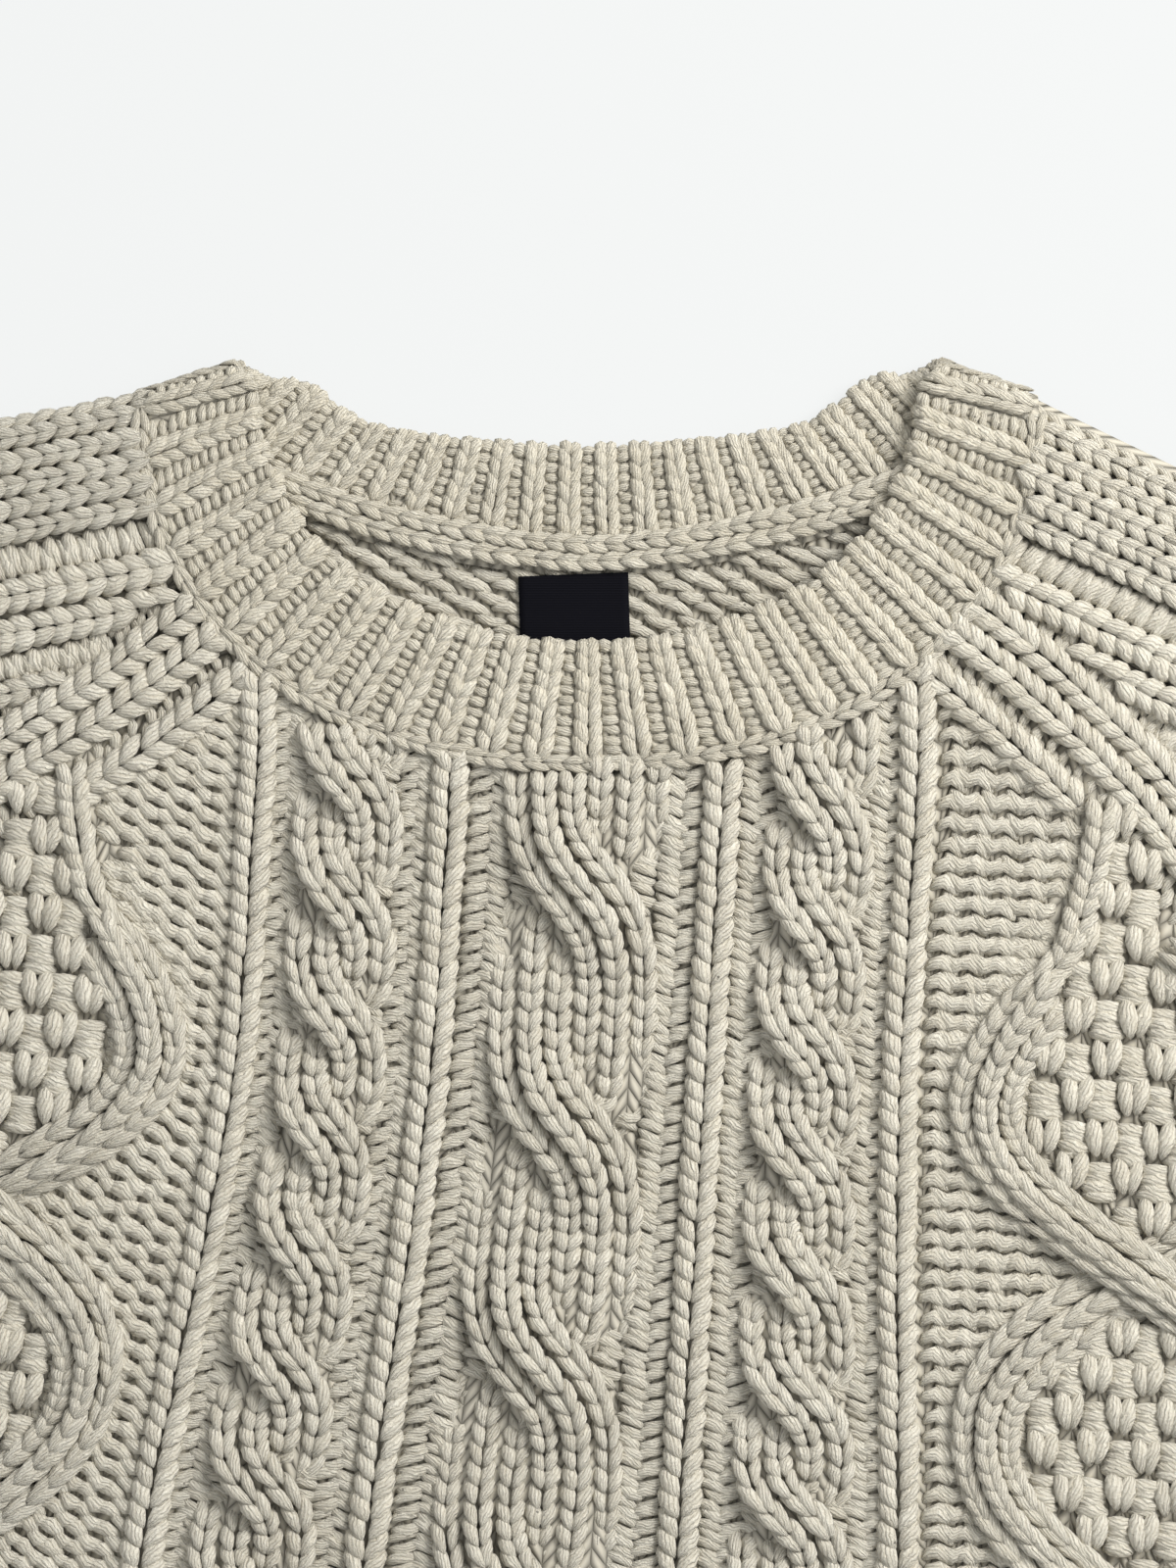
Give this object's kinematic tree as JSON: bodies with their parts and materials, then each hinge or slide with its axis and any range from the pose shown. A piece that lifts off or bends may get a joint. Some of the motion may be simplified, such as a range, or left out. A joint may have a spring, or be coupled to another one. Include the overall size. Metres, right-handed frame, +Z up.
{
  "type": "cable knit sweater",
  "caption": "Child's chunky cable knit pullover with raglan sleeves and a ribbed crew neck, lying flat with its front up.",
  "frame": {"origin": "on the surface the garment lies on, under the middle of its bounding box", "axes": "+Z up out of the front of the garment, +Y towards the neck, +X towards the sleeve on the right as seen from above"},
  "size_m": [0.8024, 0.4414, 0.0115],
  "materials": {
    "yarn": "matt plied cotton yarn, cream",
    "label": "black woven ribbon, bare"
  },
  "bodies": {
    "root": {"front": "yarn", "back": "yarn", "hem_front": "yarn", "hem_back": "yarn", "sleeve_left": "yarn", "sleeve_right": "yarn", "cuff_left": "yarn", "cuff_right": "yarn", "neckband": "yarn", "neck_label": "label"}
  },
  "joints": []
}
